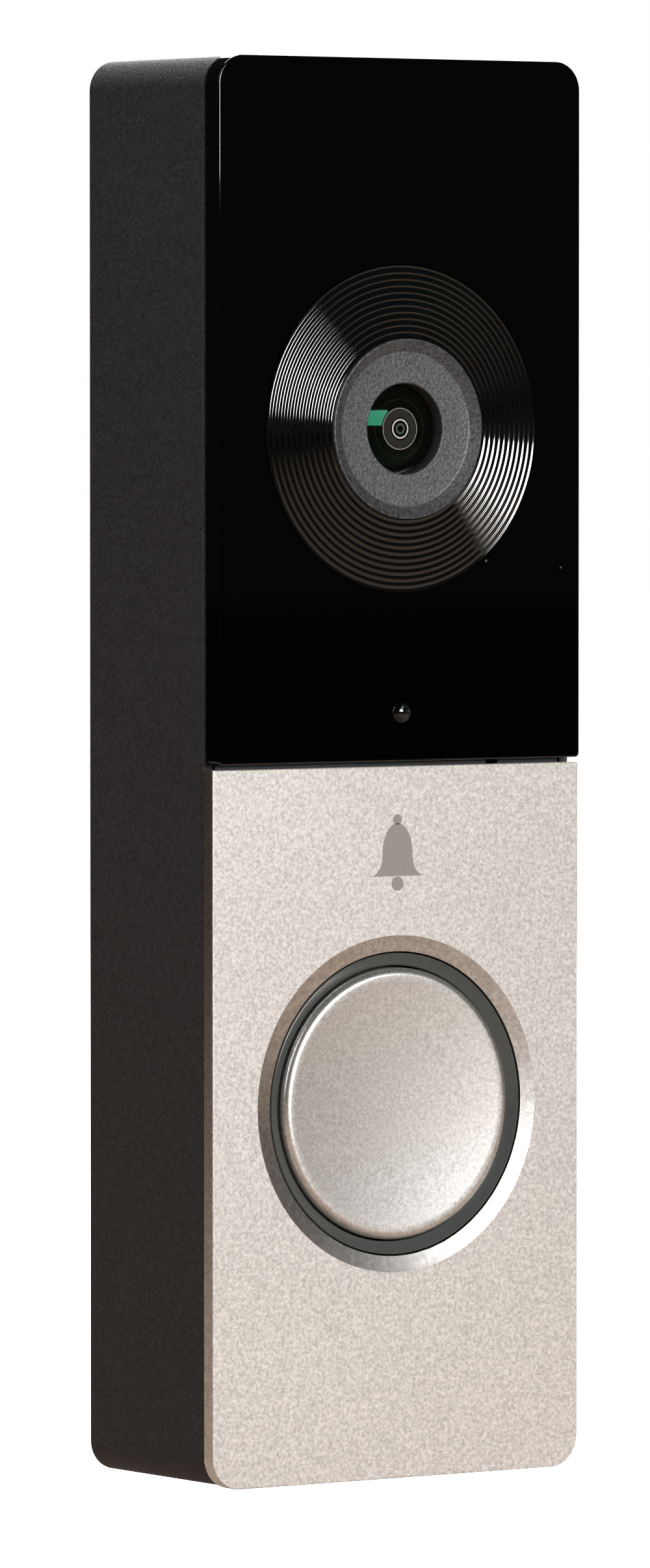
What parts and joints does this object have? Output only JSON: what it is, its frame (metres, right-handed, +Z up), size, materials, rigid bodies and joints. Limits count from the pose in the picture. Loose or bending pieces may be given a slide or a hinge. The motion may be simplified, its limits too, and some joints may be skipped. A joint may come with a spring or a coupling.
{
  "type": "video doorbell",
  "caption": "Slim wall-mounted video doorbell: black case, glossy camera window over a satin metal plate with a lit round push button.",
  "frame": {"origin": "centre of the rear face that meets the wall", "axes": "+X right as seen from the front, +Y into the wall, +Z up"},
  "size_m": [0.042, 0.0233, 0.1339],
  "materials": {
    "housing_black": "fine textured matte moulding",
    "window_gloss": "polished, infrared clear",
    "satin_nickel": "bead blasted and anodised, satin",
    "bezel_grey": "spark textured",
    "smoke_clear": "smoked light guide, polished",
    "inner_plastic": "moulded",
    "lens_glass": "coated optical glass",
    "soft_seal": "silicone",
    "circuit_board": "solder masked laminate",
    "chip_black": "moulded component case",
    "bright_steel": "zinc plated",
    "bare_brass": "plain",
    "spreader_metal": "rolled sheet",
    "pale_lamp": "pale moulded",
    "cell_wrap": "shrink wrap",
    "film_copper": "polyimide film"
  },
  "bodies": {
    "case": {"rear_housing": "housing_black", "housing_seal": "soft_seal", "front_frame": "inner_plastic", "housing_screw_1": "bright_steel", "housing_screw_2": "bright_steel", "housing_screw_3": "bright_steel", "housing_screw_4": "bright_steel", "camera_window": "window_gloss", "faceplate": "satin_nickel", "lens_shroud": "window_gloss", "lens_bezel": "bezel_grey", "lens_barrel": "inner_plastic", "aperture_ring": "bezel_grey", "front_lens": "lens_glass", "rear_lens": "lens_glass", "lens_holder": "inner_plastic", "image_sensor": "chip_black", "camera_board": "circuit_board", "infrared_emitter_1": "chip_black", "infrared_emitter_2": "chip_black", "infrared_emitter_3": "chip_black", "infrared_emitter_4": "chip_black", "sensor_lens": "lens_glass", "light_sensor": "chip_black", "microphone": "bright_steel", "microphone_boot": "soft_seal", "antenna": "bare_brass", "camera_ribbon": "film_copper", "light_ring": "smoke_clear", "return_boot": "soft_seal", "tact_switch": "chip_black", "ring_light_1": "pale_lamp", "ring_light_2": "pale_lamp", "ring_light_3": "pale_lamp", "ring_light_4": "pale_lamp", "ring_light_5": "pale_lamp", "ring_light_6": "pale_lamp", "main_board": "circuit_board", "processor_shield": "bright_steel", "heat_spreader": "spreader_metal", "thermal_pad": "soft_seal", "backup_cell": "cell_wrap", "terminal_block": "inner_plastic", "terminal_clamp_left": "bare_brass", "terminal_clamp_right": "bare_brass", "terminal_screw_left": "bare_brass", "terminal_screw_right": "bare_brass", "rear_gasket": "soft_seal", "speaker_frame": "inner_plastic", "speaker_diaphragm": "chip_black", "speaker_magnet": "bright_steel", "speaker_gasket": "soft_seal", "reset_switch": "chip_black", "wall_bracket": "bright_steel", "security_screw": "bright_steel"},
    "button": {"button_cap": "satin_nickel", "button_carrier": "inner_plastic"},
    "switch": {"switch_plunger": "pale_lamp"},
    "reset": {"reset_button": "pale_lamp"}
  },
  "joints": [
    {"name": "button_travel", "type": "slide", "parent": "case", "child": "button", "axis": [0, 1, 0], "range_m": [0, 0.0006], "stiffness_N_per_m": 3500, "springref_m": -0.0002, "deforming": ["return_boot"]},
    {"name": "switch_travel", "type": "slide", "parent": "case", "child": "switch", "axis": [0, 1, 0], "range_m": [0, 0.0006]},
    {"name": "reset_travel", "type": "slide", "parent": "case", "child": "reset", "axis": [0, -1, 0], "range_m": [0, 0.0004], "stiffness_N_per_m": 2500, "springref_m": -0.0002}
  ],
  "couplings": [
    {"joint": "switch_travel", "follows": "button_travel", "ratio": 1}
  ]
}
